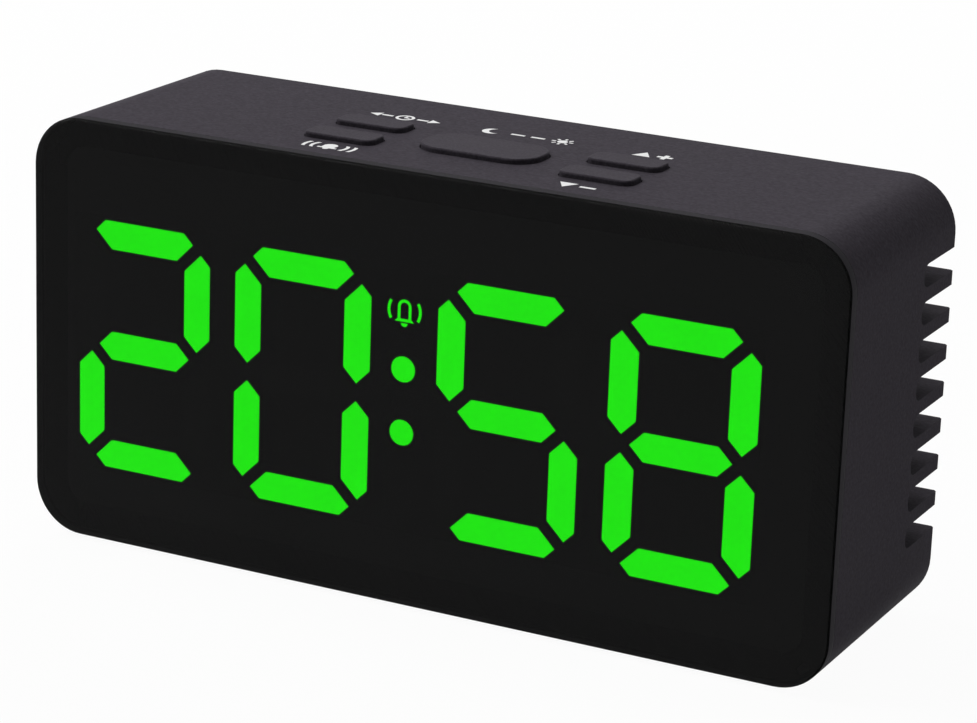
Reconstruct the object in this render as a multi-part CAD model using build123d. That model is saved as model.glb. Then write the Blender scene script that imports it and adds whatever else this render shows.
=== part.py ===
from build123d import *
import os
from math import radians, sqrt, tan

# Digital LED desk clock, in millimetres.
# +X is the viewer's right, the lens faces -Y, +Z is up.
# The origin is on the table, under the middle of the case.

# Case
case_width = 140.0
case_height = 70.0
case_depth = 44.0  # front of the lens to the tips of the fins
body_depth = 30.8  # front of the lens to the roots of the grooves
corner_radius = 8.4
wall = 2.2
front_plate = 1.8  # plate behind the lens, which carries the light box
edge_break = 0.4  # chamfer round the rear edge

# Lens and its adhesive frame
lens_thickness = 2.0
lens_chamfer = 0.3
tape_thickness = 0.2
tape_inset = 0.5
tape_width = 4.5

# Display: four digits and a colon
side_margin = 10.6  # case side to the outer digits, with the display centred
top_margin = 16.5
bottom_margin = 11.9
digit_gap = 4.7  # between the two digits of a pair
colon_gap = 11.7  # between the pairs
display_shift = -3.4  # the display sits left of the middle
segment_width = 4.7
segment_gap = 2.05
digit_corner = 4.9  # cut across each outer corner of a digit
dot_diameter = 4.1
dot_spacing = 10.3
symbol_rise = 14.6  # alarm symbol above the middle of the display
bell_width = 3.4
bell_height = 3.6
symbol_stroke = 0.5
clapper_radius = 0.6
clapper_gap = 0.2
ring_radius = 3.0  # sound arcs beside the bell
ring_angle = 64.0

# Light box
reflector_depth = 8.0
face_border = 2.0  # light box beyond the digits
fill_thickness = 1.5  # diffusing resin in each segment
well_ledge = 0.35
well_taper = 0.75  # each wall of a well closes in by this much towards the board
window_clearance = 0.3
resin_clearance = 0.05

# Boards and what is on them
board_thickness = 1.6
board_gap = 1.2  # board edge to the case wall
led_length = 1.6
led_width = 0.8
led_height = 0.6
led_spread_share = 0.32  # of a segment's length, between its two chips
post_radius = 2.6
post_inset = 12.0  # case side to the display board screws
chip_length = 17.9
chip_width = 7.5
chip_height = 2.4
chip_pin_count = 14  # on each side
chip_pin_pitch = 1.27
chip_pin_width = 0.42
chip_pin_reach = 1.4
chip_pin_height = 0.6
chip_drop = 5.0  # chip below the middle of the board
crystal_radius = 1.5
crystal_length = 8.0
crystal_gap = 4.0  # chip end to crystal
buzzer_radius = 6.0
buzzer_height = 6.5
buzzer_hole = 1.0
buzzer_inset = 22.0  # case side to the middle of the buzzer
buzzer_lift = 8.0
capacitor_radius = 2.5
capacitor_length = 8.0
capacitor_gap = 6.0  # chip end to capacitor
link_pin_count = 7
link_pin_pitch = 2.54
link_pin_size = 0.64
link_pin_drop = 2.0  # below the notch in the display board
link_pin_reach = 2.4  # least reach from the display board
link_pin_inset = 4.95  # from the front edge of the button board

# Buttons and switches
button_width = 12.3
button_depth = 5.5
button_corner = 1.6
snooze_width = 20.4
snooze_depth = 11.0
snooze_corner = 4.6
button_rise = 0.8
button_round = 0.35
button_clearance = 0.2
button_travel = 0.5
button_lip = 1.0
lip_overhang = 0.6
lip_play = 0.05
column_spacing = 44.3  # left pair to right pair
column_shift = 1.4  # the pads sit right of the middle
row_pitch = 10.0
rear_row_inset = 5.6  # seam to the middle of the rear row
switch_size = 6.0
switch_height = 3.5
plunger_radius = 1.75
plunger_rise = 1.4
plunger_sink = 0.6
plunger_clearance = 0.1
button_board_thickness = 1.2
button_board_margin = 1.5
hanger_radius = 2.5
hanger_gap = 0.5  # button lip to hanger
notch_clearance = 0.8

# Finned rear cover
fin_thickness = 2.25
groove_count = 8
groove_corner = 1.65
groove_corner_share = 0.45  # most of a groove's height that a corner takes
top_block = 10.6  # solid band above the grooves
bottom_block = 13.6
root_wall = 2.0
rear_wall = 2.0
groove_wall = 2.0
sound_hole_radius = 0.8
sound_hole_pitch = 3.2
sound_hole_count = 3  # in each of two grooves
spigot_depth = 1.2
spigot_thickness = 1.2
spigot_clearance = 0.15
boss_clearance = 0.3

# Battery bay and door
cell_diameter = 10.2
cell_length = 44.2
cell_count = 3
nub_radius = 1.9
nub_length = 1.0
cell_gap = 0.5
cell_lift = 0.3
bay_clearance = 0.4
bay_ledge = 1.2
bay_wall = 1.7
door_thickness = 1.8
door_clearance = 0.2
door_seat_gap = 0.05
door_cell_gap = 0.85
hinge_pin_radius = 0.6
hinge_pin_length = 1.0
hinge_pin_clearance = 0.1
grip_width = 14.0
grip_height = 1.0
grip_depth = 0.5
grip_count = 4
grip_pitch = 2.2
grip_inset = 3.3  # top of the door to the first groove
scoop_radius = 7.0
scoop_depth = 1.5
scoop_rise = 3.0
contact_thickness = 0.4
contact_height = 8.6
contact_width = 8.0
bump_radius = 2.2
bump_height = 0.6
bow_height = 4.4
bow_width = 5.0
bow_play = 0.05
tag_width = 2.0
tag_reach = 2.5
tag_clearance = 0.15

# Power inlet
usb_inset = 30.0  # case side to the socket
usb_width = 7.5
usb_height = 2.7
usb_depth = 5.6
usb_shell = 0.35
usb_recess = 0.6
usb_clearance = 0.15
tongue_width = 4.0
tongue_thickness = 0.7
tongue_setback = 0.8
usb_board_width = 14.0
usb_board_depth = 11.0
usb_board_thickness = 1.2
usb_board_gap = 0.3
usb_rib_thickness = 1.5
usb_rib_spacing = 10.0

# Leads
lead_radius = 0.65
lead_straight_share = 0.25  # of the way to the board, straight out of each end
lead_offset = 4.0
lead_drop = 5.0
usb_lead_spacing = 3.0
bend_share = 0.45  # of the shorter run, taken by each bend

# Screws
board_screw_core = 0.9
board_screw_head = 1.9
board_screw_head_height = 1.3
board_screw_length = 5.0
cover_screw_core = 1.2
cover_screw_head = 2.5
cover_screw_head_height = 1.8
cover_screw_bite = 8.0
cover_screw_inset = 6.6
cover_screw_seat = 4.0
screw_well_clearance = 0.4
screw_clearance = 0.15
screw_end_gap = 1.0
recess_share = 1.3  # of the head's radius, along each arm of the cross
recess_width = 0.5
recess_depth = 0.8
tower_radius = 4.2
boss_radius = 3.4
boss_gap = 3.0
boss_rib = 2.0

# Feet
foot_diameter = 10.0
foot_stand = 0.8
foot_pocket = 0.8
foot_clearance = 0.1
foot_inset_side = 15.0
foot_inset_front = 10.0
foot_inset_rear = 8.0

overcut = 1.0  # how far cutters run past the face that they open

# Places along Y, from the front to the back
front_y = -case_depth / 2
lens_back_y = front_y + lens_thickness
plate_front_y = lens_back_y + tape_thickness
plate_back_y = plate_front_y + front_plate
board_front_y = plate_front_y + reflector_depth
board_back_y = board_front_y + board_thickness
rear_y = case_depth / 2
groove_root_y = front_y + body_depth
seam_y = groove_root_y - root_wall
rear_row_y = seam_y - rear_row_inset
front_row_y = rear_row_y - row_pitch
bay_floor_y = rear_y - door_thickness - door_cell_gap - cell_diameter - cell_lift
bay_front_y = bay_floor_y - root_wall
cell_y = bay_floor_y + cell_lift + cell_diameter / 2
tag_end_y = min(seam_y, bay_front_y) - tag_reach

# Places along Z, from the table up
base_z = foot_stand
mid_z = base_z + case_height / 2
top_z = base_z + case_height
ceiling_z = top_z - wall
cap_bottom_z = ceiling_z - lip_play - button_lip
switch_top_z = cap_bottom_z - plunger_rise
button_board_top_z = switch_top_z - switch_height
button_board_bottom_z = button_board_top_z - button_board_thickness
notch_z = button_board_bottom_z - board_screw_head_height - notch_clearance
groove_bottom_z = base_z + bottom_block
groove_top_z = top_z - top_block

# Display layout
digit_width = (case_width - 2 * side_margin - 2 * digit_gap - colon_gap) / 4
digit_height = case_height - top_margin - bottom_margin
display_width = case_width - 2 * side_margin
display_z = base_z + bottom_margin + digit_height / 2
inner_digit_x = colon_gap / 2 + digit_width / 2
outer_digit_x = inner_digit_x + digit_width + digit_gap
reflector_width = display_width + 2 * face_border
reflector_height = digit_height + 2 * face_border
mitre = segment_gap / sqrt(2)

# Grooves and battery bay
groove_height = (groove_top_z - groove_bottom_z - (groove_count - 1) * fin_thickness) / groove_count
groove_pitch = groove_height + fin_thickness
bay_z = (groove_bottom_z + groove_top_z) / 2
cell_pitch = cell_diameter + cell_gap
bay_half_z = (cell_count * cell_pitch - cell_gap) / 2 + bay_clearance
bay_half_x = (cell_length + bow_height + bump_height + 2 * contact_thickness) / 2
rebate_half_x = bay_half_x + bay_ledge
rebate_half_z = bay_half_z + bay_ledge
hinge_y = rear_y - door_thickness / 2
hinge_z = bay_z - rebate_half_z + door_clearance + door_thickness / 2
door_top_z = bay_z + rebate_half_z - door_clearance
scoop_z = door_top_z + scoop_rise - scoop_radius

# Buzzer and power inlet places
buzzer_x = case_width / 2 - buzzer_inset
buzzer_z = mid_z + buzzer_lift
usb_x = case_width / 2 - usb_inset
usb_z = base_z + bottom_block / 2
usb_mouth_y = rear_y - usb_recess
usb_board_top_z = usb_z - usb_height / 2
usb_board_rear_y = rear_y - rear_wall - usb_board_gap
usb_board_front_y = usb_board_rear_y - usb_board_depth


def outline(inset):
    return RectangleRounded(case_width - 2 * inset, case_height - 2 * inset, corner_radius - inset)


def slab(sketch, y_from, y_to):
    # A sketch drawn as seen from the front, filled between two places along Y
    return extrude(Pos(0, y_to, 0) * (Plane.XZ * sketch), amount=y_to - y_from)


def case_slab(inset, y_from, y_to):
    return slab(Pos(0, mid_z) * outline(inset), y_from, y_to)


def block(x_range, y_range, z_range):
    size = [high - low for low, high in (x_range, y_range, z_range)]
    middle = [(high + low) / 2 for low, high in (x_range, y_range, z_range)]
    return Pos(*middle) * Box(*size)


def rod_y(x, z, radius, y_from, y_to):
    return slab(Pos(x, z) * Circle(radius), y_from, y_to)


def rod_z(x, y, radius, z_from, z_to):
    return Pos(x, y, z_from) * extrude(Circle(radius), amount=z_to - z_from)


def rod_x(y, z, radius, x_from, x_to):
    return Pos(x_from, y, z) * extrude(Plane.YZ * Circle(radius), amount=x_to - x_from)


def both_sides(value):
    return (-value, value)


def screw(core, head, head_height, length):
    # Pan head at Z 0 upwards, shank downwards
    body = Pos(0, 0, head_height / 2) * Cylinder(head, head_height)
    body += Pos(0, 0, -length / 2) * Cylinder(core, length)
    arm = Box(recess_share * head, recess_width, recess_depth)
    cross = arm + Rot(0, 0, 90) * arm
    return body - Pos(0, 0, head_height - recess_depth / 2) * cross


def place_from_rear(solid, x, y, z):
    # Turns a screw so that its head faces the rear
    return Pos(x, y, z) * Rot(-90, 0, 0) * solid


def lead(points):
    # A wire of straight runs joined by tangent arcs
    radii = []
    for before, corner, after in zip(points, points[1:], points[2:]):
        run_in = Vector(*corner) - Vector(*before)
        run_out = Vector(*after) - Vector(*corner)
        half_turn = radians(run_in.get_angle(run_out)) / 2
        radii.append(bend_share * min(run_in.length, run_out.length) / tan(half_turn))
    path = FilletPolyline(*points, radius=radii)
    return sweep(Plane(origin=path @ 0, z_dir=path % 0) * Circle(lead_radius), path=path)


# Seven segments of one digit, about its own middle
half_w = digit_width / 2
half_h = digit_height / 2
bar_points = [
    (half_w - digit_corner, half_h),
    (-half_w + digit_corner, half_h),
    (-half_w + (digit_corner + mitre) / 2, half_h - (digit_corner - mitre) / 2),
    (-half_w + segment_width + mitre, half_h - segment_width),
    (half_w - segment_width - mitre, half_h - segment_width),
    (half_w - (digit_corner + mitre) / 2, half_h - (digit_corner - mitre) / 2),
]
side_points = [
    (half_w - segment_width, mitre + segment_width / 2),
    (half_w - segment_width / 2, mitre),
    (half_w, mitre + segment_width / 2),
    (half_w, half_h - digit_corner),
    (half_w - (digit_corner - mitre) / 2, half_h - (digit_corner + mitre) / 2),
    (half_w - segment_width, half_h - segment_width - mitre),
]
tip_x = half_w - segment_width / 2 - mitre
middle_points = [
    (tip_x, 0),
    (tip_x - segment_width / 2, segment_width / 2),
    (-tip_x + segment_width / 2, segment_width / 2),
    (-tip_x, 0),
    (-tip_x + segment_width / 2, -segment_width / 2),
    (tip_x - segment_width / 2, -segment_width / 2),
]


def flipped(points, flip_x, flip_z):
    turned = [(flip_x * x, flip_z * z) for x, z in points]
    if flip_x * flip_z < 0:
        turned.reverse()
    return turned


segment_points = {
    "a": bar_points,
    "b": side_points,
    "c": flipped(side_points, 1, -1),
    "d": flipped(bar_points, 1, -1),
    "e": flipped(side_points, -1, -1),
    "f": flipped(side_points, -1, 1),
    "g": middle_points,
}
digit_places = {
    "hour_tens": -outer_digit_x,
    "hour_units": -inner_digit_x,
    "minute_tens": inner_digit_x,
    "minute_units": outer_digit_x,
}
lit_letters = {
    "hour_tens": "abged",
    "hour_units": "abcdef",
    "minute_tens": "afgcd",
    "minute_units": "abcdefg",
}


def on_face(sketch, x=0.0, z=0.0):
    return Pos(display_shift + x, display_z + z) * sketch


def segment_face(digit, letter):
    return on_face(Polygon(*segment_points[letter]), digit_places[digit])


def bell_outline():
    dome = bell_width / 2 - symbol_stroke
    shoulder = bell_height - dome
    sides = Polygon(
        (-bell_width / 2, 0),
        (bell_width / 2, 0),
        (dome, symbol_stroke),
        (dome, shoulder),
        (-dome, shoulder),
        (-dome, symbol_stroke),
    )
    return sides + Pos(0, shoulder) * Circle(dome)


def symbol_faces():
    bell = bell_outline()
    hollow = offset(bell, amount=-symbol_stroke, kind=Kind.INTERSECTION)
    upper_half = Pos(0, clapper_radius / 2) * Rectangle(2 * clapper_radius, clapper_radius)
    clapper = Pos(0, -clapper_gap) * (Circle(clapper_radius) - upper_half)
    ring = Circle(ring_radius) - Circle(ring_radius - symbol_stroke)
    reach = 2 * ring_radius
    rise = reach * tan(radians(ring_angle / 2))
    middle = Pos(0, bell_height / 2)
    right = middle * (ring & Polygon((0, 0), (reach, -rise), (reach, rise)))
    left = middle * (ring & Polygon((0, 0), (-reach, rise), (-reach, -rise)))
    drop = symbol_rise - bell_height / 2
    return [on_face(face, 0, drop) for face in (bell - hollow, clapper, right, left)]


def colon_face(side):
    return on_face(Circle(dot_diameter / 2), 0, side * dot_spacing / 2)


def resin(face):
    return slab(face, plate_front_y, plate_front_y + fill_thickness)


def light_well(face):
    # The tapered well behind one segment, from the resin's ledge to the board
    throat = offset(face, amount=-well_ledge, kind=Kind.INTERSECTION)
    foot = offset(face, amount=-well_ledge - well_taper, kind=Kind.INTERSECTION)
    near = Pos(0, plate_front_y + fill_thickness, 0) * (Plane.XZ * throat)
    far = Pos(0, board_front_y, 0) * (Plane.XZ * foot)
    return loft([near.face(), far.face()], ruled=True)


def display_reflector():
    face = on_face(Rectangle(reflector_width, reflector_height))
    body = slab(face, plate_front_y, board_front_y)
    cutters = []
    for digit in digit_places:
        for letter in segment_points:
            segment = segment_face(digit, letter)
            cutters += [resin(segment), light_well(segment)]
    for side in (-1, 1):
        dot = on_face(Circle(dot_diameter / 2 + resin_clearance), 0, side * dot_spacing / 2)
        cutters += [resin(dot), light_well(colon_face(side))]
    cutters += [resin(face) for face in symbol_faces()]
    cutters.append(light_well(on_face(Circle(dot_diameter / 2), 0, symbol_rise)))
    return body - cutters


def segment_leds():
    # Two chips under each segment, one under each dot and the symbol
    along_x = Box(led_length, led_height, led_width)
    along_z = Box(led_width, led_height, led_length)
    chip_y = board_front_y - led_height / 2
    corner_tip = (digit_corner + mitre) / 2
    bar_z = half_h - segment_width / 2
    bar_spread = led_spread_share * (half_w - corner_tip)
    side_x = half_w - segment_width / 2
    side_z = (half_h - corner_tip + mitre) / 2
    side_spread = led_spread_share * (half_h - corner_tip - mitre) / 2
    chips = []
    for x in digit_places.values():
        middle_x = display_shift + x
        for z in (-bar_z, 0, bar_z):
            for dx in both_sides(bar_spread):
                chips.append(Pos(middle_x + dx, chip_y, display_z + z) * along_x)
        for dx in both_sides(side_x):
            for z in both_sides(side_z):
                for dz in both_sides(side_spread):
                    chips.append(Pos(middle_x + dx, chip_y, display_z + z + dz) * along_z)
    for z in (-dot_spacing / 2, dot_spacing / 2, symbol_rise):
        chips.append(Pos(display_shift, chip_y, display_z + z) * along_x)
    return chips


# Button layout: name, middle and size of each pad
group_y = (rear_row_y + front_row_y) / 2
small_pad = (button_width, button_depth, button_corner)
snooze_pad = (snooze_width, snooze_depth, snooze_corner)
left_x = column_shift - column_spacing / 2
right_x = column_shift + column_spacing / 2
button_pads = {
    "mode": (left_x, rear_row_y, small_pad),
    "alarm": (left_x, front_row_y, small_pad),
    "snooze": (column_shift, group_y, snooze_pad),
    "up": (right_x, rear_row_y, small_pad),
    "down": (right_x, front_row_y, small_pad),
}
hanger_reach = (
    column_spacing / 2 + button_width / 2 + lip_overhang + button_clearance + hanger_gap + hanger_radius
)
hanger_places = [
    (column_shift + dx, y) for dx in both_sides(hanger_reach) for y in (front_row_y, rear_row_y)
]
button_board_half = hanger_reach + hanger_radius + button_board_margin
button_board_front_y = front_row_y - switch_size / 2 - button_board_margin
button_board_rear_y = rear_row_y + switch_size / 2 + button_board_margin


def pad_shape(pad, grow):
    width, depth, corner = pad
    return RectangleRounded(width + 2 * grow, depth + 2 * grow, corner + grow)


def button_cap(name):
    x, y, pad = button_pads[name]
    height = top_z + button_rise - cap_bottom_z
    cap = extrude(pad_shape(pad, 0), amount=height)
    cap = fillet(cap.edges().group_by(Axis.Z)[-1], button_round)
    cap += extrude(pad_shape(pad, lip_overhang), amount=button_lip)
    return Pos(x, y, cap_bottom_z) * cap


def switch_plunger(name):
    x, y, _ = button_pads[name]
    return rod_z(x, y, plunger_radius, switch_top_z - plunger_sink, cap_bottom_z)


def switch_body(name):
    x, y, _ = button_pads[name]
    half = switch_size / 2
    body = block((x - half, x + half), (y - half, y + half), (button_board_top_z, switch_top_z))
    well_depth = plunger_sink + button_travel + plunger_clearance
    well = rod_z(x, y, plunger_radius + plunger_clearance, switch_top_z - well_depth, top_z)
    return body - well


def button_board():
    board = block(
        (column_shift - button_board_half, column_shift + button_board_half),
        (button_board_front_y, button_board_rear_y),
        (button_board_bottom_z, button_board_top_z),
    )
    for x, y in hanger_places:
        board -= rod_z(x, y, board_screw_core + screw_clearance, base_z, top_z)
    return board


def button_board_screws():
    upright = screw(board_screw_core, board_screw_head, board_screw_head_height, board_screw_length)
    return [Pos(x, y, button_board_bottom_z) * Rot(180, 0, 0) * upright for x, y in hanger_places]


# Screw places seen from the front
reflector_bottom_z = display_z - reflector_height / 2
reflector_top_z = display_z + reflector_height / 2
post_x = case_width / 2 - post_inset
post_low_z = (base_z + wall + reflector_bottom_z) / 2
post_high_z = (reflector_top_z + ceiling_z) / 2
post_places = [(x, z) for x in both_sides(post_x) for z in (post_low_z, post_high_z)]
cover_screw_x = case_width / 2 - cover_screw_inset
cover_screw_places = [
    (x, z)
    for x in both_sides(cover_screw_x)
    for z in (base_z + cover_screw_inset, top_z - cover_screw_inset)
]
foot_x = case_width / 2 - foot_inset_side
front_foot_y = front_y + foot_inset_front
rear_foot_y = rear_y - foot_inset_rear


def feet(y):
    return [
        rod_z(x, y, foot_diameter / 2, 0, foot_stand + foot_pocket) for x in both_sides(foot_x)
    ]


def foot_pockets():
    radius = foot_diameter / 2 + foot_clearance
    places = [(x, y) for x in both_sides(foot_x) for y in (front_foot_y, rear_foot_y)]
    return [rod_z(x, y, radius, 0, base_z + foot_pocket) for x, y in places]


def front_lens():
    lens = case_slab(0, front_y, lens_back_y)
    return chamfer(lens.edges().group_by(Axis.Y)[0], lens_chamfer)


def lens_tape():
    frame = case_slab(tape_inset, lens_back_y, plate_front_y)
    return frame - case_slab(tape_inset + tape_width, front_y, rear_y)


def cover_boss(x, z):
    # Screw boss in a corner of the case, with a rib out to the side wall
    front = board_back_y + boss_gap
    side = x / abs(x) * (case_width / 2 - wall / 2)
    x_range = (min(x, side), max(x, side))
    rib = block(x_range, (front, seam_y), (z - boss_rib / 2, z + boss_rib / 2))
    boss = rod_y(x, z, boss_radius, front, seam_y) + rib
    return boss & case_slab(wall / 2, front, seam_y)


def case_shell():
    shell = case_slab(0, plate_front_y, seam_y)
    shell -= case_slab(wall, plate_back_y, seam_y + overcut)
    for x, z in post_places:
        shell += rod_y(x, z, post_radius, plate_back_y, board_front_y)
    for x, y in hanger_places:
        shell += rod_z(x, y, hanger_radius, button_board_top_z, ceiling_z)
    for x, z in cover_screw_places:
        shell += cover_boss(x, z)
    window = Rectangle(reflector_width + 2 * window_clearance, reflector_height + 2 * window_clearance)
    cutters = [slab(on_face(window), front_y, plate_back_y + overcut)]
    for x, y, pad in button_pads.values():
        opening = extrude(pad_shape(pad, button_clearance), amount=wall + 2 * overcut)
        cutters.append(Pos(x, y, ceiling_z - overcut) * opening)
    pilot = board_screw_length - board_thickness + screw_end_gap
    for x, z in post_places:
        hole = board_screw_core + screw_clearance
        cutters.append(rod_y(x, z, hole, board_front_y - pilot, board_front_y))
    pilot = board_screw_length - button_board_thickness + screw_end_gap
    for x, y in hanger_places:
        hole = board_screw_core + screw_clearance
        cutters.append(rod_z(x, y, hole, button_board_top_z, button_board_top_z + pilot))
    for x, z in cover_screw_places:
        hole = cover_screw_core + screw_clearance
        cutters.append(rod_y(x, z, hole, seam_y - cover_screw_bite - screw_end_gap, seam_y))
    cutters += foot_pockets()
    return shell - cutters


def display_board():
    board = case_slab(wall + board_gap, board_front_y, board_back_y)
    half = button_board_half + notch_clearance
    board -= block(
        (column_shift - half, column_shift + half),
        (front_y, rear_y),
        (notch_z, top_z),
    )
    for x, z in post_places:
        board -= rod_y(x, z, board_screw_core + screw_clearance, front_y, rear_y)
    return board


def display_board_screws():
    turned = screw(board_screw_core, board_screw_head, board_screw_head_height, board_screw_length)
    return [place_from_rear(turned, x, board_back_y, z) for x, z in post_places]


chip_z = mid_z - chip_drop


def controller_chip():
    body = block(
        both_sides(chip_length / 2),
        (board_back_y, board_back_y + chip_height),
        (chip_z - chip_width / 2, chip_z + chip_width / 2),
    )
    half = chip_width / 2 + chip_pin_reach
    for number in range(chip_pin_count):
        x = (number - (chip_pin_count - 1) / 2) * chip_pin_pitch
        body += block(
            (x - chip_pin_width / 2, x + chip_pin_width / 2),
            (board_back_y, board_back_y + chip_pin_height),
            (chip_z - half, chip_z + half),
        )
    return body


def quartz_crystal():
    x = -chip_length / 2 - crystal_gap - crystal_radius
    y = board_back_y + crystal_radius
    low_z = chip_z - crystal_length / 2
    return rod_z(x, y, crystal_radius, low_z, low_z + crystal_length)


def smoothing_capacitor():
    x = chip_length / 2 + capacitor_gap + capacitor_radius
    y = board_back_y + capacitor_radius
    low_z = chip_z - capacitor_length / 2
    return rod_z(x, y, capacitor_radius, low_z, low_z + capacitor_length)


def buzzer():
    end_y = board_back_y + buzzer_height
    can = rod_y(buzzer_x, buzzer_z, buzzer_radius, board_back_y, end_y)
    return can - rod_y(buzzer_x, buzzer_z, buzzer_hole, end_y - buzzer_hole, end_y + overcut)


def board_link_pins():
    pins = []
    half = link_pin_size / 2
    low_z = notch_z - link_pin_drop
    turn_y = max(board_back_y + link_pin_reach, button_board_front_y + link_pin_inset)
    for number in range(link_pin_count):
        x = column_shift + (number - (link_pin_count - 1) / 2) * link_pin_pitch
        x_range = (x - half, x + half)
        foot = block(x_range, (board_back_y, turn_y), (low_z, low_z + link_pin_size))
        stem = block(x_range, (turn_y - link_pin_size, turn_y), (low_z, button_board_bottom_z))
        pins.append(foot + stem)
    return pins


def groove_z(number):
    return groove_bottom_z + groove_height / 2 + number * groove_pitch


def groove(number):
    # One groove across the whole back, with rounded corners at its root
    corner = min(groove_corner, groove_corner_share * groove_height)
    length = rear_y - groove_root_y + 2 * corner
    profile = RectangleRounded(length, groove_height, corner)
    start = Pos(-case_width / 2 - overcut, groove_root_y + length / 2, groove_z(number))
    return start * extrude(Plane.YZ * profile, amount=case_width + 2 * overcut)


def sound_holes():
    # Small holes in the floors of the two grooves behind the buzzer
    lower = int((buzzer_z - groove_z(0)) / groove_pitch)
    holes = []
    for number in (lower, lower + 1):
        z = groove_z(number)
        for step in range(sound_hole_count):
            x = buzzer_x + (step - (sound_hole_count - 1) / 2) * sound_hole_pitch
            holes.append(rod_y(x, z, sound_hole_radius, seam_y - overcut, groove_root_y + overcut))
    return holes


def bay_box(grow, y_from, y_to):
    return block(
        both_sides(rebate_half_x + grow),
        (y_from, y_to),
        (bay_z - rebate_half_z - grow, bay_z + rebate_half_z + grow),
    )


def cover_cavity():
    # Hollow inside the bands above and below the grooves, round the screw towers
    hollow = case_slab(wall, seam_y - overcut, rear_y - rear_wall)
    hollow -= block(
        both_sides(case_width),
        (front_y, rear_y),
        (groove_bottom_z - groove_wall, groove_top_z + groove_wall),
    )
    hollow -= bay_box(bay_wall, seam_y, rear_y)
    for x, z in cover_screw_places:
        hollow -= rod_y(x, z, tower_radius, seam_y, rear_y)
    for dx in both_sides(usb_rib_spacing / 2):
        x_range = (usb_x + dx - usb_rib_thickness / 2, usb_x + dx + usb_rib_thickness / 2)
        low_z = base_z + wall / 2
        hollow -= block(
            x_range, (usb_board_front_y, rear_y), (low_z, usb_board_top_z - usb_board_thickness)
        )
    return hollow


def rear_cover():
    cover = case_slab(0, seam_y, rear_y)
    cover = chamfer(cover.edges().group_by(Axis.Y)[-1], edge_break)
    bay_block = bay_box(bay_wall, bay_front_y, rear_y)
    for number in range(groove_count):
        cover -= groove(number)
    cover -= cover_cavity()
    cover += bay_block
    inset = wall + spigot_clearance
    spigot = case_slab(inset, seam_y - spigot_depth, seam_y + root_wall / 2)
    spigot -= case_slab(inset + spigot_thickness, front_y, rear_y)
    for x, z in cover_screw_places:
        spigot -= rod_y(x, z, boss_radius + boss_clearance, front_y, seam_y)
        side = x / abs(x) * case_width / 2
        rib_half = boss_rib / 2 + spigot_clearance
        spigot -= block((min(x, side), max(x, side)), (front_y, seam_y), (z - rib_half, z + rib_half))
    cover += spigot
    cutters = [
        block(
            both_sides(bay_half_x),
            (bay_floor_y, rear_y + overcut),
            (bay_z - bay_half_z, bay_z + bay_half_z),
        ),
        bay_box(0, rear_y - door_thickness - door_seat_gap, rear_y + overcut),
        rod_x(
            hinge_y,
            hinge_z,
            hinge_pin_radius + hinge_pin_clearance,
            -rebate_half_x - hinge_pin_length,
            rebate_half_x + hinge_pin_length,
        ),
        rod_y(0, scoop_z, scoop_radius, rear_y - scoop_depth, rear_y + overcut),
        block(
            (usb_x - usb_width / 2 - usb_clearance, usb_x + usb_width / 2 + usb_clearance),
            (rear_y - rear_wall - overcut, rear_y + overcut),
            (usb_z - usb_height / 2 - usb_clearance, usb_z + usb_height / 2 + usb_clearance),
        ),
    ]
    for x, z in cover_screw_places:
        well = cover_screw_head + screw_well_clearance
        cutters.append(rod_y(x, z, well, seam_y + cover_screw_seat, rear_y + overcut))
        cutters.append(rod_y(x, z, cover_screw_core + screw_clearance, front_y, rear_y))
    for side, row in ((-1, cell_count - 1), (1, 0)):
        cutters.append(contact_tag(side, row, tag_clearance))
    cutters += sound_holes()
    cutters += foot_pockets()
    return cover - cutters


def rear_cover_screws():
    length = cover_screw_seat + cover_screw_bite
    turned = screw(cover_screw_core, cover_screw_head, cover_screw_head_height, length)
    return [place_from_rear(turned, x, seam_y + cover_screw_seat, z) for x, z in cover_screw_places]


def battery_door():
    # Flat door with a rounded lower edge that turns on two moulded pins
    half = rebate_half_x - door_clearance
    pin = half + hinge_pin_length
    door = block(both_sides(half), (rear_y - door_thickness, rear_y), (hinge_z, door_top_z))
    door += rod_x(hinge_y, hinge_z, door_thickness / 2, -half, half)
    door += rod_x(hinge_y, hinge_z, hinge_pin_radius, -pin, pin)
    for number in range(grip_count):
        z = door_top_z - grip_inset - number * grip_pitch
        door -= block(
            both_sides(grip_width / 2),
            (rear_y - grip_depth, rear_y + overcut),
            (z - grip_height / 2, z + grip_height / 2),
        )
    return door


def row_z(row):
    return bay_z + (row - (cell_count - 1) / 2) * cell_pitch


def positive_side(row):
    # Cells lie head to tail: the top and bottom ones point left
    return -1 if row % 2 == 0 else 1


def aaa_cells():
    cells = []
    for row in range(cell_count):
        side = positive_side(row)
        tip = side * (bay_half_x - contact_thickness - bump_height)
        shoulder = tip - side * nub_length
        end = tip - side * cell_length
        z = row_z(row)
        can = rod_x(cell_y, z, cell_diameter / 2, min(shoulder, end), max(shoulder, end))
        cells.append(can + rod_x(cell_y, z, nub_radius, min(shoulder, tip), max(shoulder, tip)))
    return cells


def contact_plate(side, low_row, high_row):
    wall_x = side * bay_half_x
    face_x = wall_x - side * contact_thickness
    return block(
        (min(wall_x, face_x), max(wall_x, face_x)),
        (cell_y - contact_width / 2, cell_y + contact_width / 2),
        (row_z(low_row) - contact_height / 2, row_z(high_row) + contact_height / 2),
    )


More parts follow.
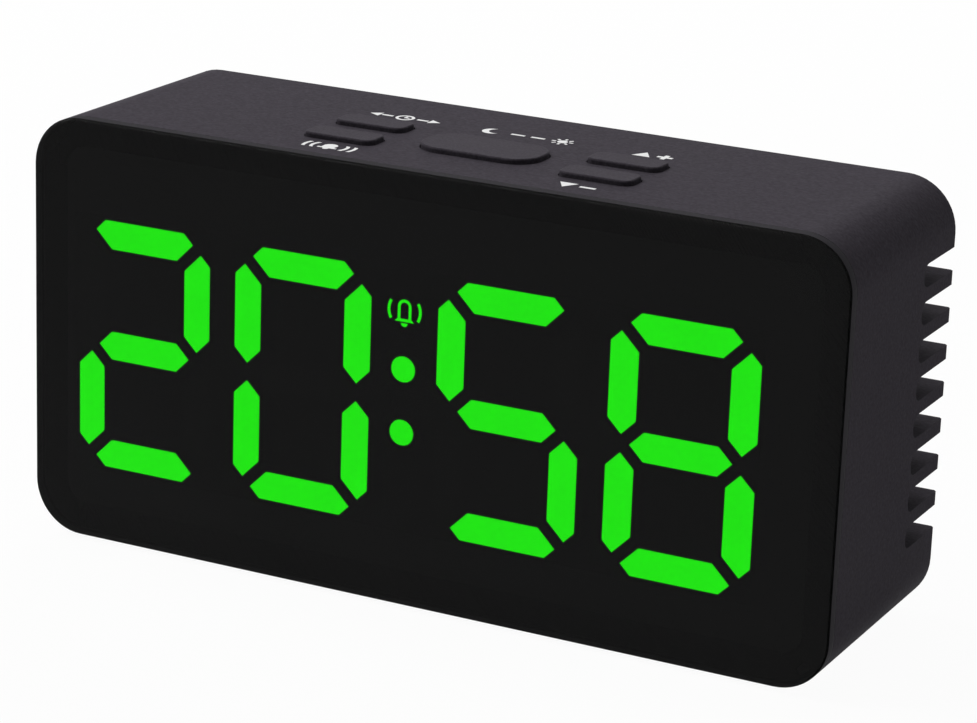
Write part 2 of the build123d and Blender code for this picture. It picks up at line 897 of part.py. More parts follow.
def contact_head(side, row):
    # A pressed bump for a cell's tip, or a sprung bow for its flat end
    face_x = side * (bay_half_x - contact_thickness)
    if side == positive_side(row):
        tip_x = face_x - side * bump_height
        return rod_x(cell_y, row_z(row), bump_radius, min(tip_x, face_x), max(tip_x, face_x))
    outer = bow_height - bow_play
    ring = Circle(outer) - Circle(outer - contact_thickness)
    ring -= Pos(side * outer, 0) * Rectangle(2 * outer, 2 * outer)
    bow = slab(ring, -bow_width / 2, bow_width / 2)
    return Pos(face_x, cell_y, row_z(row)) * bow


def contact_tag(side, row, grow):
    # Solder tag that reaches through the floor of the bay
    wall_x = side * bay_half_x
    face_x = wall_x - side * contact_thickness
    return block(
        (min(wall_x, face_x) - grow, max(wall_x, face_x) + grow),
        (tag_end_y, cell_y - contact_width / 2),
        (row_z(row) - tag_width / 2 - grow, row_z(row) + tag_width / 2 + grow),
    )


def end_contact(side, row):
    return contact_plate(side, row, row) + contact_head(side, row) + contact_tag(side, row, 0)


def link_contact(side, low_row):
    plate = contact_plate(side, low_row, low_row + 1)
    return plate + contact_head(side, low_row) + contact_head(side, low_row + 1)


def usb_box(shrink, y_from, y_to):
    return block(
        (usb_x - usb_width / 2 + shrink, usb_x + usb_width / 2 - shrink),
        (y_from, y_to),
        (usb_z - usb_height / 2 + shrink, usb_z + usb_height / 2 - shrink),
    )


def usb_socket():
    back_y = usb_mouth_y - usb_depth
    hollow = usb_box(usb_shell, back_y + usb_shell, usb_mouth_y + overcut)
    return usb_box(0, back_y, usb_mouth_y) - hollow


def usb_tongue():
    back_y = usb_mouth_y - usb_depth + usb_shell
    return block(
        (usb_x - tongue_width / 2, usb_x + tongue_width / 2),
        (back_y, usb_mouth_y - tongue_setback),
        (usb_z - tongue_thickness / 2, usb_z + tongue_thickness / 2),
    )


def usb_board():
    return block(
        (usb_x - usb_board_width / 2, usb_x + usb_board_width / 2),
        (usb_board_front_y, usb_board_rear_y),
        (usb_board_top_z - usb_board_thickness, usb_board_top_z),
    )


def lead_between(x_from, y_from, z_from, x_to, z_to):
    # From a terminal towards the rear to the display board
    straight = lead_straight_share * (y_from - board_back_y)
    return lead(
        [
            (x_from, y_from, z_from),
            (x_from, y_from - straight, z_from),
            (x_to, board_back_y + straight, z_to),
            (x_to, board_back_y, z_to),
        ]
    )


def battery_lead(side, row):
    x = side * (bay_half_x - contact_thickness / 2)
    z = row_z(row)
    return lead_between(x, tag_end_y, z, x + side * lead_offset, z - lead_drop)


def usb_lead(side):
    x = usb_x + side * usb_lead_spacing / 2
    z = usb_board_top_z - usb_board_thickness / 2
    return lead_between(x, usb_board_front_y, z, x, z + lead_drop)


nodes = {
    "front_lens": [front_lens()],
    "lens_tape": [lens_tape()],
    "case_shell": [case_shell()],
    "rear_cover": [rear_cover()],
    "battery_door": [battery_door()],
    "display_reflector": [display_reflector()],
    "colon_dots": [resin(colon_face(side)) for side in (-1, 1)],
    "alarm_symbol": [resin(face) for face in symbol_faces()],
    "segment_leds": segment_leds(),
    "display_board": [display_board()],
    "display_board_screws": display_board_screws(),
    "controller_chip": [controller_chip()],
    "quartz_crystal": [quartz_crystal()],
    "smoothing_capacitor": [smoothing_capacitor()],
    "buzzer": [buzzer()],
    "board_link_pins": board_link_pins(),
    "button_board": [button_board()],
    "button_board_screws": button_board_screws(),
    "switch_bodies": [switch_body(name) for name in button_pads],
    "aaa_cells": aaa_cells(),
    "battery_positive_contact": [end_contact(-1, cell_count - 1)],
    "battery_negative_contact": [end_contact(1, 0)],
    "left_link_contact": [link_contact(-1, 0)],
    "right_link_contact": [link_contact(1, 1)],
    "usb_socket": [usb_socket()],
    "usb_tongue": [usb_tongue()],
    "usb_board": [usb_board()],
    "battery_lead_red": [battery_lead(-1, cell_count - 1)],
    "battery_lead_black": [battery_lead(1, 0)],
    "usb_lead_red": [usb_lead(1)],
    "usb_lead_black": [usb_lead(-1)],
    "rear_cover_screws": rear_cover_screws(),
    "front_feet": feet(front_foot_y),
    "rear_feet": feet(rear_foot_y),
}
for name in button_pads:
    nodes[name + "_button"] = [button_cap(name)]
    nodes[name + "_switch_plunger"] = [switch_plunger(name)]
for digit, letters in lit_letters.items():
    lit = [resin(segment_face(digit, letter)) for letter in letters]
    dark = [resin(segment_face(digit, letter)) for letter in segment_points if letter not in letters]
    nodes[digit + "_lit_segments"] = lit
    if dark:
        nodes[digit + "_dark_segments"] = dark

os.makedirs("parts", exist_ok=True)
for name, pieces in nodes.items():
    solids = [solid for piece in pieces for solid in piece.solids()]
    shape = solids[0] if len(solids) == 1 else Compound(children=solids)
    export_step(shape, "parts/" + name + ".step")
print(len(nodes), "nodes written")
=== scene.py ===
import math
import bpy
from mathutils import Matrix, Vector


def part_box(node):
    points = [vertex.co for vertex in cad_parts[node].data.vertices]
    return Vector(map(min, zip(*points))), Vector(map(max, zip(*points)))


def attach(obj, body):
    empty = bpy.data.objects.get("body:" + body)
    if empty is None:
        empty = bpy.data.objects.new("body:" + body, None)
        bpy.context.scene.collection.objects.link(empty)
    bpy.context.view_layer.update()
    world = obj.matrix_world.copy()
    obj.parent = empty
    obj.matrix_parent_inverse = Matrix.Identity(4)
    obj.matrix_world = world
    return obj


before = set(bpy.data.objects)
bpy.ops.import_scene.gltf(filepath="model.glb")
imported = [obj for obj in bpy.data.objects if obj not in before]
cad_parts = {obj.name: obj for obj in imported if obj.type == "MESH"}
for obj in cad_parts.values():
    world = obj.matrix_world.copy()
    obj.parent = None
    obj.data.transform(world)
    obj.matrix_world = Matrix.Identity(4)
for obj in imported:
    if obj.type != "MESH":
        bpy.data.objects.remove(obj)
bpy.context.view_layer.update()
mm = 0.001
print("clock loaded:", len(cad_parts), "nodes")


class Wire:  # one output socket, with plain arithmetic
    def __init__(self, tree, socket=None):
        self.tree = tree
        self.socket = socket

    def node(self, kind, settings, sockets, out=0):
        made = self.tree.nodes.new(kind)
        for name, value in settings.items():
            setattr(made, name, value)
        plug(made, sockets)
        return Wire(self.tree, made.outputs[out])

    def maths(self, operation, first, second):
        return self.node("ShaderNodeMath", {"operation": operation}, {0: first, 1: second})

    def __add__(self, other):
        return self.maths("ADD", self, other)

    def __sub__(self, other):
        return self.maths("SUBTRACT", self, other)

    def __rsub__(self, other):
        return self.maths("SUBTRACT", other, self)

    def __mul__(self, other):
        return self.maths("MULTIPLY", self, other)

    def __gt__(self, other):
        return self.maths("GREATER_THAN", self, other)

    def __lt__(self, other):
        return self.maths("LESS_THAN", self, other)

    __radd__ = __add__
    __rmul__ = __mul__


def plug(node, sockets):
    for name, value in sockets.items():
        if isinstance(value, Wire):
            value.tree.links.new(value.socket, node.inputs[name])
        else:
            node.inputs[name].default_value = value


def startFinish(name):  # a material, its shader and the place on the piece in mm
    made = bpy.data.materials.new(name)
    made.use_nodes = True
    shader = made.node_tree.nodes["Principled BSDF"]
    metres = Wire(made.node_tree).node("ShaderNodeTexCoord", {}, {}, "Object")
    scaled = {0: metres, "Scale": 1 / mm}
    place = metres.node("ShaderNodeVectorMath", {"operation": "SCALE"}, scaled)
    return made, shader, place


def noise(place, scale, detail=2.0):
    sockets = {"Vector": place, "Scale": scale, "Detail": detail}
    return place.node("ShaderNodeTexNoise", {}, sockets, "Fac")


def tint(factor, first, second):
    return factor.node("ShaderNodeMix", {"data_type": "RGBA"}, {0: factor, 6: first, 7: second}, 2)


def relief(height, depth, strength):
    sockets = {"Height": height, "Distance": depth * mm, "Strength": strength}
    return height.node("ShaderNodeBump", {}, sockets, "Normal")


def axis(place, letter):
    return place.node("ShaderNodeSeparateXYZ", {}, {0: place}, letter)


moulding = {  # what all moulded pieces share
    "mottleScale": 0.4, "mottle": 0.45, "cloud": 0.4,
    "grainRoughness": 0.2, "cloudRoughness": 0.12, "strength": 0.5,
}


def mouldedPlastic(name, look):  # spark-eroded moulding: fine grain, faint clouds
    made, shader, place = startFinish(name)
    grain = noise(place, look["grain"], 3.0)
    mottle = noise(place, look["grain"] * moulding["mottleScale"])
    cloud = noise(place, look["cloud"])
    blend = 0.5 + look["speckle"] * (grain - 0.5)
    blend = blend + moulding["mottle"] * (mottle - 0.5) + moulding["cloud"] * (cloud - 0.5)
    rough = look["roughness"] + moulding["grainRoughness"] * (grain - 0.5)
    plug(shader, {
        "Base Color": tint(blend, look["dark"], look["light"]),
        "Roughness": rough + moulding["cloudRoughness"] * (cloud - 0.5),
        "Specular IOR Level": look["shine"],
        "Normal": relief(grain, look["relief"], moulding["strength"]),
    })
    return made


caseLook = {
    "dark": (0.0275, 0.0242, 0.0302, 1), "light": (0.0575, 0.0510, 0.0622, 1),
    "grain": 1.9, "speckle": 1.8, "cloud": 0.06, "roughness": 0.68, "shine": 0.02, "relief": 0.10,
}
buttonLook = {
    "dark": (0.0270, 0.0236, 0.0296, 1), "light": (0.0560, 0.0494, 0.0606, 1),
    "grain": 2.4, "speckle": 1.8, "cloud": 0.09, "roughness": 0.62, "shine": 0.03, "relief": 0.06,
}
epoxyLook = {
    "dark": (0.012, 0.012, 0.013, 1), "light": (0.024, 0.024, 0.026, 1),
    "grain": 9.0, "speckle": 1.0, "cloud": 0.3, "roughness": 0.66, "shine": 0.35, "relief": 0.02,
}
nylonLook = {
    "dark": (0.016, 0.016, 0.016, 1), "light": (0.032, 0.032, 0.033, 1),
    "grain": 6.0, "speckle": 1.0, "cloud": 0.2, "roughness": 0.5, "shine": 0.4, "relief": 0.015,
}
rubberLook = {
    "dark": (0.014, 0.014, 0.014, 1), "light": (0.034, 0.033, 0.033, 1),
    "grain": 5.0, "speckle": 1.0, "cloud": 0.25, "roughness": 0.85, "shine": 0.2, "relief": 0.06,
}
foamLook = {
    "dark": (0.008, 0.008, 0.008, 1), "light": (0.02, 0.02, 0.02, 1),
    "grain": 2.4, "speckle": 1.0, "cloud": 0.2, "roughness": 0.9, "shine": 0.1, "relief": 0.08,
}


lensLook = {
    "smoke": (0.0027, 0.0027, 0.0028, 1), "edge": (0.0125, 0.0112, 0.0142, 1),
    "density": 0.72, "roughness": 0.13, "shine": 0.13, "margin": 1.4,
    "face": -21.98, "front": -21.68, "back": -20.05,  # depths in mm
    "smearScale": 0.035, "smear": 0.06, "mattRoughness": 0.65,
}


def smokedLens(look):  # polished faces, black printed border, sawn matt edge
    made, shader, place = startFinish("smokedLens")
    low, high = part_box("display_reflector")
    across, depth, up = (axis(place, letter) for letter in "XYZ")
    window = (across > low.x / mm + look["margin"]) * (across < high.x / mm - look["margin"])
    window = window * (up > low.z / mm + look["margin"]) * (up < high.z / mm - look["margin"])
    front = depth < look["front"]
    edge = (1 - front) * (depth < look["back"])
    matt = (depth > look["face"]) * (depth < look["back"])  # chamfer and edge
    clear = front.maths("MAXIMUM", front, window)  # the border is printed on the back
    smear = noise(place, look["smearScale"], 3.0)
    plug(shader, {
        "Base Color": tint(edge, look["smoke"], look["edge"]),
        "Roughness": look["roughness"] + look["smear"] * smear + look["mattRoughness"] * matt,
        "Alpha": 1 - (1 - look["density"]) * clear,
        "Specular IOR Level": look["shine"],
    })
    return made


litLook = {
    "core": (0.012, 1.0, 0.001, 1), "rim": (0.010, 0.90, 0.001, 1), "body": (0.02, 0.30, 0.02, 1),
    "strength": 10.2, "spots": 0.22, "speck": 6.0, "speckShare": 0.15, "roughness": (0.45, 0.1),
}


def litResin(look):  # green diffuser with soft hot spots over the LED chips
    made, shader, place = startFinish("litResin")
    spots = noise(place, look["spots"], 1.0)
    speck = noise(place, look["speck"])
    warm = spots * (1 - look["speckShare"]) + speck * look["speckShare"]
    smooth, spread = look["roughness"]
    plug(shader, {
        "Base Color": look["body"],
        "Emission Color": tint(warm, look["rim"], look["core"]),
        "Emission Strength": look["strength"],
        "Roughness": smooth + spread * speck,
    })
    return made


def speckled(look, name, detail=2.0):  # two tones and a roughness that follow one fine noise
    made, shader, place = startFinish(name)
    speck = noise(place, look["speck"], detail)
    smooth, spread = look["roughness"]
    plug(shader, {
        "Base Color": tint(speck, look["low"], look["high"]),
        "Roughness": smooth + spread * speck,
    })
    return made, shader, speck


darkLook = {
    "low": (0.010, 0.0115, 0.010, 1), "high": (0.018, 0.020, 0.018, 1),
    "speck": 6.0, "roughness": (0.5, 0.15),
}


def darkResin(look):
    return speckled(look, "darkResin")[0]


lightBoxLook = {
    "ink": (0.004, 0.004, 0.0042, 1), "white": (0.78, 0.78, 0.76, 1), "face": -19.7,
    "grain": 5.0, "roughness": (0.6, 0.15), "shine": 0.2, "relief": (0.004, 0.2),
}


def lightBox(look):  # white moulding with a black printed face
    made, shader, place = startFinish("lightBox")
    face = axis(place, "Y") < look["face"]
    grain = noise(place, look["grain"], 3.0)
    smooth, spread = look["roughness"]
    plug(shader, {
        "Base Color": tint(face, look["white"], look["ink"]),
        "Roughness": smooth + spread * grain,
        "Specular IOR Level": look["shine"],
        "Normal": relief(grain, *look["relief"]),
    })
    return made


boardLook = {
    "mask": (0.008, 0.055, 0.022, 1), "track": (0.018, 0.12, 0.05, 1),
    "length": 10.16, "row": 1.27, "gap": 0.12, "soft": 0.2, "stagger": 0.37,
    "speck": 4.0, "speckShare": 0.3, "roughness": (0.32, 0.15), "relief": (0.03, 0.5),
}


def solderMask(look):  # tracks show as lighter lines under the mask
    made, shader, place = startFinish("solderMask")
    upright = (math.radians(90), 0, 0)
    turned = place.node("ShaderNodeMapping", {}, {"Vector": place, "Rotation": upright})
    track = place.node("ShaderNodeTexBrick", {"offset": look["stagger"]}, {
        "Vector": turned, "Scale": 1.0, "Mortar Size": look["gap"], "Mortar Smooth": look["soft"],
        "Brick Width": look["length"], "Row Height": look["row"],
    }, "Fac")
    speck = noise(place, look["speck"])
    blend = track * (1 - look["speckShare"]) + speck * look["speckShare"]
    smooth, spread = look["roughness"]
    plug(shader, {
        "Base Color": tint(blend, look["mask"], look["track"]),
        "Roughness": smooth + spread * speck,
        "Normal": relief(track, *look["relief"]),
    })
    return made


plating = {  # what all plated pieces share
    "brush": 7.0, "stain": 0.4, "stainShare": 0.4,
    "brushRoughness": 0.18, "stainRoughness": 0.12, "relief": (0.006, 0.4),
}
zincLook = {
    "dark": (0.40, 0.40, 0.41, 1), "light": (0.66, 0.66, 0.67, 1),
    "roughness": 0.30, "stretch": (1, 1, 0.2),
}
nickelLook = {
    "dark": (0.46, 0.44, 0.40, 1), "light": (0.70, 0.68, 0.62, 1),
    "roughness": 0.24, "stretch": (1, 0.15, 1),
}
goldLook = {
    "dark": (0.62, 0.42, 0.13, 1), "light": (0.86, 0.64, 0.26, 1),
    "roughness": 0.26, "stretch": (1, 0.3, 1),
}


def platedMetal(name, look):  # rolled sheet or wire, brushed along one way
    made, shader, place = startFinish(name)
    stretched = {0: place, 1: look["stretch"]}
    along = place.node("ShaderNodeVectorMath", {"operation": "MULTIPLY"}, stretched)
    brush = noise(along, plating["brush"], 3.0)
    stain = noise(place, plating["stain"])
    blend = brush * (1 - plating["stainShare"]) + stain * plating["stainShare"]
    rough = look["roughness"] + plating["brushRoughness"] * (brush - 0.5)
    plug(shader, {
        "Base Color": tint(blend, look["dark"], look["light"]),
        "Metallic": 1.0,
        "Roughness": rough + plating["stainRoughness"] * (stain - 0.5),
        "Normal": relief(brush, *plating["relief"]),
    })
    return made


ledLook = {
    "low": (0.70, 0.69, 0.58, 1), "high": (0.86, 0.85, 0.80, 1),
    "speck": 3.0, "roughness": (0.2, 0.15), "coat": 0.4,
}


def ledChip(look):
    made, shader, _ = speckled(look, "ledChip")
    plug(shader, {"Coat Weight": look["coat"]})
    return made


cellLook = {
    "jacket": (0.075, 0.135, 0.215, 1), "band": (0.50, 0.52, 0.54, 1),
    "steel": (0.62, 0.62, 0.62, 1),
    "bandStart": 18.0, "plusEnd": 22.0, "minusEnd": -20.0,  # along a cell, in mm
    "brush": 2.0, "metal": 0.75, "roughness": (0.28, 0.14), "relief": (0.01, 0.3),
}


def cellJacket(look):  # plain sleeve with a pale ring at the plus end, bare steel caps
    made, shader, place = startFinish("cellJacket")
    low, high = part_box("aaa_cells")
    third = (high.z - low.z) / 3 / mm
    up = axis(place, "Z")
    turned = (up > low.z / mm + third) * (up < high.z / mm - third)  # the middle cell
    along = axis(place, "X") * (2 * turned - 1)
    band = along > look["bandStart"]
    bare = (along > look["plusEnd"]) + (along < look["minusEnd"])
    brush = noise(place, look["brush"], 3.0)
    sleeve = tint(band, look["jacket"], look["band"])
    smooth, spread = look["roughness"]
    plug(shader, {
        "Base Color": tint(bare, sleeve, look["steel"]),
        "Metallic": look["metal"] * bare,
        "Roughness": smooth + spread * brush,
        "Normal": relief(brush, *look["relief"]),
    })
    return made


canLook = {
    "sleeve": (0.012, 0.014, 0.04, 1), "stripe": (0.50, 0.52, 0.56, 1), "stripeX": 19.0,
    "speck": 3.0, "roughness": (0.3, 0.15),
}


def sleevedCan(look):
    made, shader, place = startFinish("sleevedCan")
    stripe = axis(place, "X") > look["stripeX"]
    speck = noise(place, look["speck"])
    smooth, spread = look["roughness"]
    plug(shader, {
        "Base Color": tint(stripe, look["sleeve"], look["stripe"]),
        "Roughness": smooth + spread * speck,
    })
    return made


redLook = {
    "low": (0.36, 0.010, 0.010, 1), "high": (0.52, 0.02, 0.018, 1),
    "speck": 2.2, "roughness": (0.42, 0.15), "relief": (0.02, 0.3),
}
blackLook = {
    "low": (0.010, 0.010, 0.010, 1), "high": (0.024, 0.024, 0.024, 1),
    "speck": 2.2, "roughness": (0.42, 0.15), "relief": (0.02, 0.3),
}


def wireSleeve(name, look):
    made, shader, speck = speckled(look, name, 3.0)
    plug(shader, {"Normal": relief(speck, *look["relief"])})
    return made


inkLook = {
    "low": (0.74, 0.74, 0.74, 1), "high": (0.86, 0.86, 0.86, 1),
    "speck": 5.0, "roughness": (0.5, 0.2), "shine": 0.2,
}


def printedInk(look):  # slightly uneven pad print
    made, shader, _ = speckled(look, "whiteInk", 3.0)
    plug(shader, {"Specular IOR Level": look["shine"]})
    return made


finishes = {
    "lens": smokedLens(lensLook),
    "case": mouldedPlastic("casePlastic", caseLook),
    "button": mouldedPlastic("buttonPlastic", buttonLook),
    "tape": mouldedPlastic("foamTape", foamLook),
    "reflector": lightBox(lightBoxLook),
    "lit_segment": litResin(litLook),
    "dark_segment": darkResin(darkLook),
    "board": solderMask(boardLook),
    "chip": mouldedPlastic("blackEpoxy", epoxyLook),
    "led": ledChip(ledLook),
    "switch": mouldedPlastic("blackNylon", nylonLook),
    "steel": platedMetal("zincPlate", zincLook),
    "nickel": platedMetal("nickelPlate", nickelLook),
    "pin": platedMetal("goldFlash", goldLook),
    "cell": cellJacket(cellLook),
    "capacitor": sleevedCan(canLook),
    "red_lead": wireSleeve("redSleeve", redLook),
    "black_lead": wireSleeve("blackSleeve", blackLook),
    "foot": mouldedPlastic("footRubber", rubberLook),
}
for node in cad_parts.values():
    for slot in node.material_slots:
        slot.material = finishes[slot.material.name]
print("finishes on the nodes:", len(finishes))


def deselect():
    bpy.ops.object.select_all(action="DESELECT")


def activate(piece):
    deselect()
    piece.select_set(True)
    bpy.context.view_layer.objects.active = piece


def weld(first, other, operation="UNION"):
    tool = first.modifiers.new("weld", "BOOLEAN")
    tool.operation = operation
    tool.object = other
    activate(first)
    bpy.ops.object.modifier_apply(modifier=tool.name)
    bpy.data.objects.remove(other)
    return first


ink = {  # film of print on the case top, in mm and degrees
    "middle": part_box("case_shell")[1].z / mm + 0.02, "thickness": 0.03, "cutter": 0.12,
    "merge": 0.004, "flat": 1,
}
markInk = printedInk(inkLook)


def disc(x, y, radius, corners=40, turn=0.0, height="thickness"):
    deselect()
    bpy.ops.mesh.primitive_cylinder_add(
        vertices=corners, radius=radius * mm, depth=ink[height] * mm,
        location=(x * mm, y * mm, ink["middle"] * mm), rotation=(0, 0, math.radians(turn)),
    )
    return bpy.context.object


def bar(x, y, length, width, turn=0.0, height="thickness"):
    deselect()
    bpy.ops.mesh.primitive_cube_add(
        size=mm, location=(x * mm, y * mm, ink["middle"] * mm), rotation=(0, 0, math.radians(turn)),
    )
    bpy.context.object.scale = (length, width, ink[height])
    return bpy.context.object


def ring(x, y, radius, stroke):
    return weld(disc(x, y, radius), disc(x, y, radius - stroke, height="cutter"), "DIFFERENCE")


def joinMark(name, pieces):  # one closed film of ink
    made = pieces[0]
    for piece in pieces[1:]:
        weld(made, piece)
    activate(made)
    bpy.ops.object.mode_set(mode="EDIT")
    bpy.ops.mesh.select_all(action="SELECT")
    bpy.ops.mesh.remove_doubles(threshold=ink["merge"] * mm)
    bpy.ops.mesh.dissolve_limited(angle_limit=math.radians(ink["flat"]))
    bpy.ops.object.mode_set(mode="OBJECT")
    bpy.ops.object.transform_apply(location=True, rotation=True, scale=True)
    made.name = name
    made.data.name = name
    made.data.materials.clear()
    made.data.materials.append(markInk)
    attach(made, "clock_body")


modeMark = {
    "x": -19.3, "y": 8.55, "radius": 1.6, "stroke": 0.5,
    "hand": 0.42, "minutes": (0.4, 1.1), "hours": (0.3, 0.9),
    "shaft": (3.2, 2.0, 0.65), "headPlace": 5.1, "head": 1.25,
}


def buildModeMark(look):  # dial between two arrows
    x, y = look["x"], look["y"]
    place, length, width = look["shaft"]
    up, tall = look["minutes"]
    along, reach = look["hours"]
    pieces = [ring(x, y, look["radius"], look["stroke"])]
    pieces.append(bar(x, y + up, look["hand"], tall))
    pieces.append(bar(x + along, y, reach, look["hand"]))
    for side in (-1, 1):
        pieces.append(bar(x + side * place, y, length, width))
        pieces.append(disc(x + side * look["headPlace"], y, look["head"], 3, -90 * side))
    joinMark("mode_mark", pieces)


alarmMark = {
    "x": -19.8, "y": -15.2,
    "dome": (0.4, 1.15), "clapper": (-1.3, 0.52),
    "body": (-0.3, 2.2, 1.44), "brim": (-0.9, 3.3, 0.5),
    "arcs": (3.2, 4.5), "stroke": 0.56, "rise": 3.0, "sweep": 1.8,
}


def buildAlarmMark(look):  # bell between sound arcs
    x, y = look["x"], look["y"]
    pieces = []
    for part in ("dome", "clapper"):
        up, radius = look[part]
        pieces.append(disc(x, y + up, radius))
    for part in ("body", "brim"):
        up, length, width = look[part]
        pieces.append(bar(x, y + up, length, width))
    for radius in look["arcs"]:
        for side in (-1, 1):
            reach = look["sweep"] * radius
            keep = bar(x + side * radius, y, reach, look["rise"], height="cutter")
            pieces.append(weld(ring(x, y, radius, look["stroke"]), keep, "INTERSECT"))
    joinMark("alarm_mark", pieces)


snoozeMark = {
    "x": 2.6, "y": 8.55, "reach": 6.2, "moon": 1.65, "bite": 1.45, "biteShift": (0.85, 0.35),
    "dashes": (-1.6, 1.9), "dash": (2.4, 0.65),
    "sun": 0.85, "sunCorners": 28, "rays": 8, "ray": (1.5, 0.7, 0.42),
}


def buildSnoozeMark(look):  # crescent, two dashes and a sun
    x, y = look["x"], look["y"]
    moonX, sunX = x - look["reach"], x + look["reach"]
    along, up = look["biteShift"]
    bite = {"x": moonX + along, "y": y + up, "radius": look["bite"], "height": "cutter"}
    moon = disc(moonX, y, look["moon"])
    pieces = [weld(moon, disc(**bite), "DIFFERENCE")]
    for place in look["dashes"]:
        pieces.append(bar(x + place, y, *look["dash"]))
    pieces.append(disc(sunX, y, look["sun"], look["sunCorners"]))
    out, length, width = look["ray"]
    for number in range(look["rays"]):
        angle = 2 * math.pi * number / look["rays"]
        rayX, rayY = sunX + out * math.cos(angle), y + out * math.sin(angle)
        pieces.append(bar(rayX, rayY, length, width, math.degrees(angle)))
    joinMark("snooze_mark", pieces)


stepHead = {"shift": -1.7, "radius": 1.75, "strokeShift": 1.9}
stepMarks = {
    "up_mark": {
        "x": 24.6, "y": 8.45, "turn": 0, "lean": -0.35, "strokes": ((2.6, 0.75), (0.75, 2.6)),
    },
    "down_mark": {"x": 22.8, "y": -15.6, "turn": 180, "lean": 0.35, "strokes": ((2.6, 0.75),)},
}


def buildStepMark(name, look):  # arrow head with a plus or a minus
    headX, headY = look["x"] + stepHead["shift"], look["y"] + look["lean"]
    pieces = [disc(headX, headY, stepHead["radius"], 3, look["turn"])]
    for length, width in look["strokes"]:
        pieces.append(bar(look["x"] + stepHead["strokeShift"], look["y"], length, width))
    joinMark(name, pieces)


buildModeMark(modeMark)
buildAlarmMark(alarmMark)
buildSnoozeMark(snoozeMark)
for name, look in stepMarks.items():
    buildStepMark(name, look)
print("marks printed on the top")


usbContacts = {
    "count": 5, "pitch": 0.65, "width": 0.3, "length": 2.6, "height": 0.05,
    "tip": 0.1, "bevel": 0.015,
}


def buildUsbContacts(look):  # gilt strips on the tongue
    low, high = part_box("usb_tongue")
    middle = (low.x + high.x) / 2
    strips = []
    for number in range(look["count"]):
        deselect()
        x = middle + (number - (look["count"] - 1) / 2) * look["pitch"] * mm
        y = high.y - look["length"] * mm / 2 - look["tip"] * mm
        bpy.ops.mesh.primitive_cube_add(size=1, location=(x, y, high.z + look["height"] * mm / 2))
        strip = bpy.context.object
        strip.scale = (look["width"] * mm, look["length"] * mm, look["height"] * mm)
        bpy.ops.object.transform_apply(location=True, rotation=True, scale=True)
        bpy.ops.object.mode_set(mode="EDIT")
        bpy.ops.mesh.select_all(action="SELECT")
        bpy.ops.mesh.bevel(offset=look["bevel"] * mm, segments=1)
        bpy.ops.object.mode_set(mode="OBJECT")
        strips.append(strip)
    deselect()
    for strip in strips:
        strip.select_set(True)
    bpy.context.view_layer.objects.active = strips[0]
    bpy.ops.object.join()
    made = bpy.context.object
    made.name = "usb_contacts"
    bpy.ops.object.transform_apply(location=True, rotation=True, scale=True)
    made.data.materials.append(finishes["pin"])
    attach(made, "clock_body")


buildUsbContacts(usbContacts)
print("socket strips set")


floorLook = {
    "size": 8.0, "drop": 0.1, "pale": (0.70, 0.70, 0.70, 1), "white": (1, 1, 1, 1), "share": 0.96,
}


def seenDirectly(wire):  # camera, mirror and glass rays
    rays = [wire.node("ShaderNodeLightPath", {}, {}, name) for name in
            ("Is Camera Ray", "Is Glossy Ray", "Is Transmission Ray")]
    return rays[0].maths("MAXIMUM", rays[0], rays[1].maths("MAXIMUM", rays[1], rays[2]))


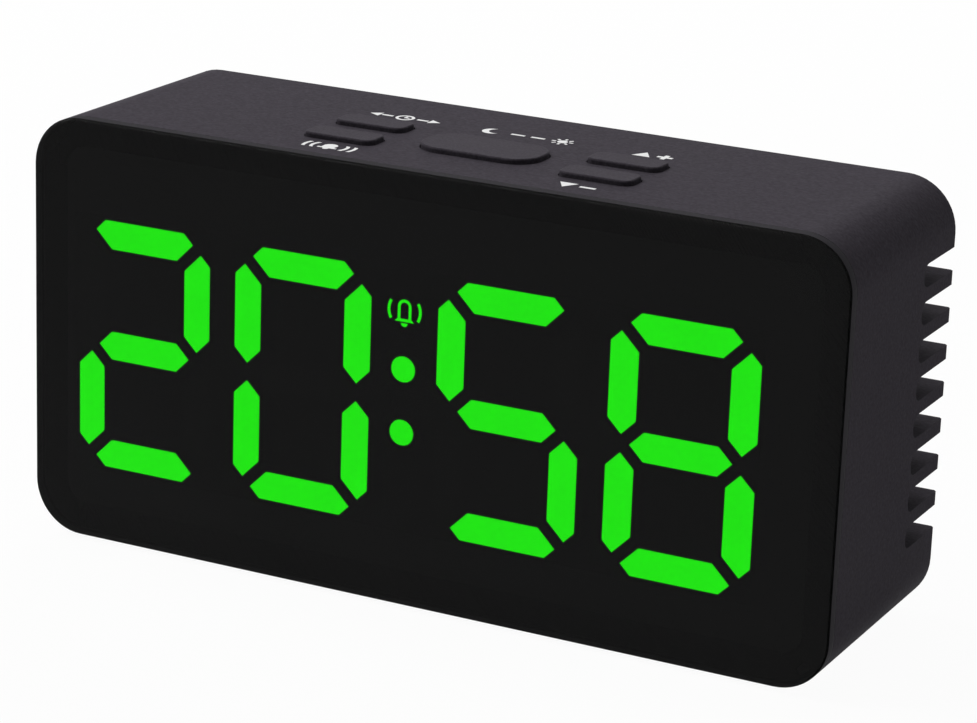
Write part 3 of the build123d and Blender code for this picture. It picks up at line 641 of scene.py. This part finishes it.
def buildFloor(look):
    deselect()
    bpy.ops.mesh.primitive_plane_add(size=look["size"], location=(0, 0, -look["drop"] * mm))
    floor = bpy.context.object
    floor.name = "floor"
    made = bpy.data.materials.new("paleFloor")
    made.use_nodes = True
    tree = made.node_tree
    tree.nodes.clear()
    wire = Wire(tree)
    matt = wire.node("ShaderNodeBsdfDiffuse", {}, {"Color": look["pale"]})
    sheet = wire.node("ShaderNodeEmission", {}, {"Color": look["white"], "Strength": 1.0})
    share = seenDirectly(wire) * look["share"]  # the rest keeps the shadow
    mixed = wire.node("ShaderNodeMixShader", {}, {0: share, 1: matt, 2: sheet})
    plug(tree.nodes.new("ShaderNodeOutputMaterial"), {"Surface": mixed})
    floor.data.materials.append(made)


studio = {
    "ambient": 0.185, "keyPower": 20.5, "keySize": 1.1, "keyPlace": (-1.0, -0.15, 1.3),
    "rearPower": 14.0, "rearSize": 1.0, "rearPlace": (-0.3, 1.3, 0.8),
}


def softbox(name, power, size, place):  # square lamp that faces the clock
    deselect()
    bpy.ops.object.light_add(type="AREA", location=place)
    lamp = bpy.context.object
    lamp.name = name
    lamp.data.energy = power
    lamp.data.shape = "SQUARE"
    lamp.data.size = size
    lamp.rotation_euler = (-lamp.location).to_track_quat("-Z", "Y").to_euler()
    return lamp


def buildStudio(look):
    softbox("keySoftbox", look["keyPower"], look["keySize"], look["keyPlace"])
    rear = softbox("rearSoftbox", look["rearPower"], look["rearSize"], look["rearPlace"])
    rear.visible_glossy = False  # fills the back without a sheen on the top
    world = bpy.data.worlds.new("studio")
    bpy.context.scene.world = world
    world.use_nodes = True
    direct = seenDirectly(Wire(world.node_tree))
    plug(world.node_tree.nodes["Background"], {
        "Color": (1, 1, 1, 1), "Strength": look["ambient"] + (1 - look["ambient"]) * direct,
    })


cameraLook = {  # metres, degrees, and millimetres for the lens
    "place": (0.23644, -0.47175, 0.19906), "azimuth": 26.48, "elevation": 17.23, "roll": 2.05,
    "lens": 127.87, "sensor": 36, "nearest": 0.01,
}


def buildCamera(look):
    bpy.ops.object.camera_add()
    camera = bpy.context.object
    camera.name = "camera"
    turn = Matrix.Rotation(math.radians(look["azimuth"]), 4, "Z")
    turn = turn @ Matrix.Rotation(math.radians(90 - look["elevation"]), 4, "X")
    turn = turn @ Matrix.Rotation(math.radians(look["roll"]), 4, "Z")
    camera.matrix_world = Matrix.Translation(look["place"]) @ turn
    camera.data.lens = look["lens"]
    camera.data.sensor_width = look["sensor"]
    camera.data.clip_start = look["nearest"]
    bpy.context.scene.camera = camera


buildFloor(floorLook)
buildStudio(studio)
buildCamera(cameraLook)
bpy.context.scene.view_settings.view_transform = "Standard"
print("floor, lamps and camera ready")
